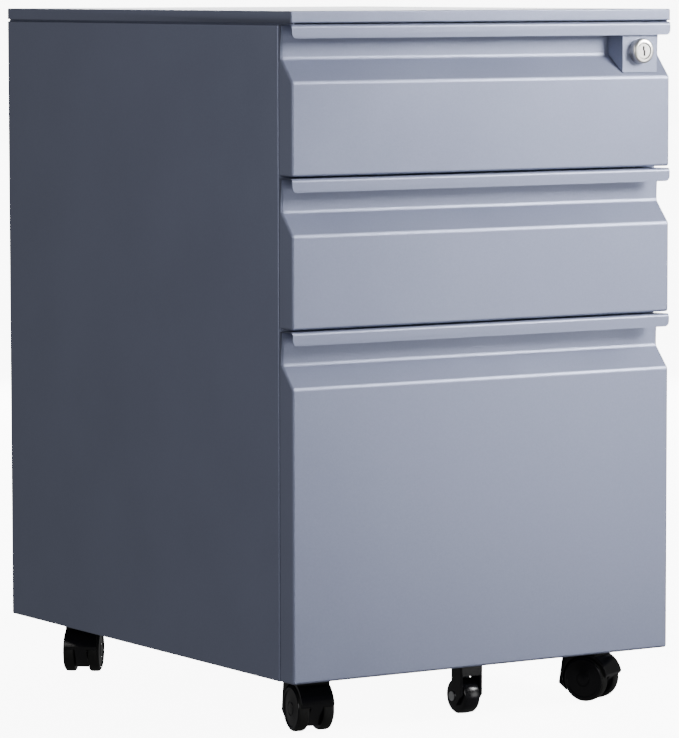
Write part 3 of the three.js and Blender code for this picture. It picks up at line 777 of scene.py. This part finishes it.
# %% [markdown]
# ## Studio
# The floor is pale, and the camera sees the world as white, though it lights the cabinet only a little. Six
# soft lights do the rest. The key, high and low ones stand at the front right and give the fronts their sheen.
# The narrow front one stands on the left and lights the upright folds. The left one is weak, so that the side
# stays a good deal darker. The back one gives the top panel its sheen at a grazing angle.

# %% Set up the floor, the lights and the camera
def stage_sheet(name, size, place, brightness):
    """A plain square of white paper, which also glows a little so that it stays white."""
    bm = bmesh.new()
    bmesh.ops.create_grid(bm, x_segments=1, y_segments=1, size=size)
    moved(bm, place)
    mesh = bpy.data.meshes.new(name)
    bm.to_mesh(mesh)
    bm.free()
    paper = finish(
        f"{name}_paper", (0.88, 0.88, 0.88), (0.92, 0.92, 0.92), (0.8, 0.9), grain=40,
        Emission_Color=(1, 1, 1, 1), Emission_Strength=brightness,
    )
    mesh.materials.append(paper)
    thing = bpy.data.objects.new(name, mesh)
    bpy.context.scene.collection.objects.link(thing)
    thing.visible_diffuse = False
    thing.visible_glossy = False


FLOOR_REACH, FLOOR_GLOW = 12, 9  # metres each way, and the strength of its own light
WORLD_LIGHT, WORLD_SEEN = 0.16, 11  # strength on the cabinet, and as the camera sees it
stage_sheet("floor", FLOOR_REACH, Matrix.Identity(4), FLOOR_GLOW)

world = bpy.data.worlds.new("studio")
world.use_nodes = True
sky, air = world.node_tree.nodes, world.node_tree.links
dim = sky["Background"]
dim.inputs["Color"].default_value = (1.0, 1.0, 1.0, 1)
dim.inputs["Strength"].default_value = WORLD_LIGHT
white = sky.new("ShaderNodeBackground")
white.inputs["Strength"].default_value = WORLD_SEEN
seen = sky.new("ShaderNodeLightPath")
either = sky.new("ShaderNodeMixShader")
air.new(seen.outputs["Is Camera Ray"], either.inputs["Fac"])
air.new(dim.outputs["Background"], either.inputs[1])
air.new(white.outputs["Background"], either.inputs[2])
air.new(either.outputs["Shader"], sky["World Output"].inputs["Surface"])
bpy.context.scene.world = world


def soft_light(name, where, target, size, power, spread=180, tall=None, tint=(1, 1, 1)):
    """A soft box of a given width in metres, aimed at a point. It is square unless its height is given."""
    lamp = bpy.data.lights.new(name, "AREA")
    lamp.shape = "RECTANGLE"
    lamp.size = size
    lamp.size_y = tall or size
    lamp.color = tint
    lamp.energy = power
    lamp.spread = math.radians(spread)
    holder = bpy.data.objects.new(name, lamp)
    holder.location = where
    aim = Vector(target) - Vector(where)
    holder.rotation_euler = aim.to_track_quat("-Z", "Y").to_euler()
    bpy.context.scene.collection.objects.link(holder)


soft_light("key", (0.95, -1.05, 1.0), (0.2, -0.25, 0.58), 0.5, 7.5, spread=75)
soft_light("high", (1.15, -1.35, 1.6), (0.1, -0.25, 0.4), 0.8, 7)
soft_light("low", (1.0, -1.5, 0.15), (0, -0.25, 0.15), 0.6, 5)
soft_light("front", (-1.35, -1.9, 0.7), (-0.1, -0.25, 0.4), 0.3, 10, tall=0.8)
soft_light("left", (-1.1, -0.55, 1.15), (-0.2, -0.2, 0.55), 0.5, 2.5, tint=(1, 0.98, 0.94))
soft_light("back", (1.5, 2.6, 0.95), (0, 0, 0.61), 1.4, 70)

AZIMUTH, DIP, ROLL = -32.26, 5.098, -0.098  # degrees
EYE = (-2.0931, -3.3293, 0.6394)  # metres
SENSOR = 36  # millimetres, along the picture's long side
LONG_SIDE = 738
FOCAL_LENGTH = 4359.4  # in the unit of LONG_SIDE
camera = bpy.data.cameras.new("camera")
camera.lens = FOCAL_LENGTH * SENSOR / LONG_SIDE
camera.sensor_width = SENSOR
camera.clip_end = 50
shooter = bpy.data.objects.new("camera", camera)
turn, dip = math.radians(AZIMUTH), math.radians(DIP)
ahead = Vector((-math.sin(turn) * math.cos(dip), math.cos(turn) * math.cos(dip), -math.sin(dip)))
spin = ahead.to_track_quat("-Z", "Y").to_matrix().to_4x4() @ Matrix.Rotation(math.radians(ROLL), 4, "Z")
shooter.matrix_world = Matrix.Translation(EYE) @ spin
bpy.context.scene.collection.objects.link(shooter)
bpy.context.scene.camera = shooter
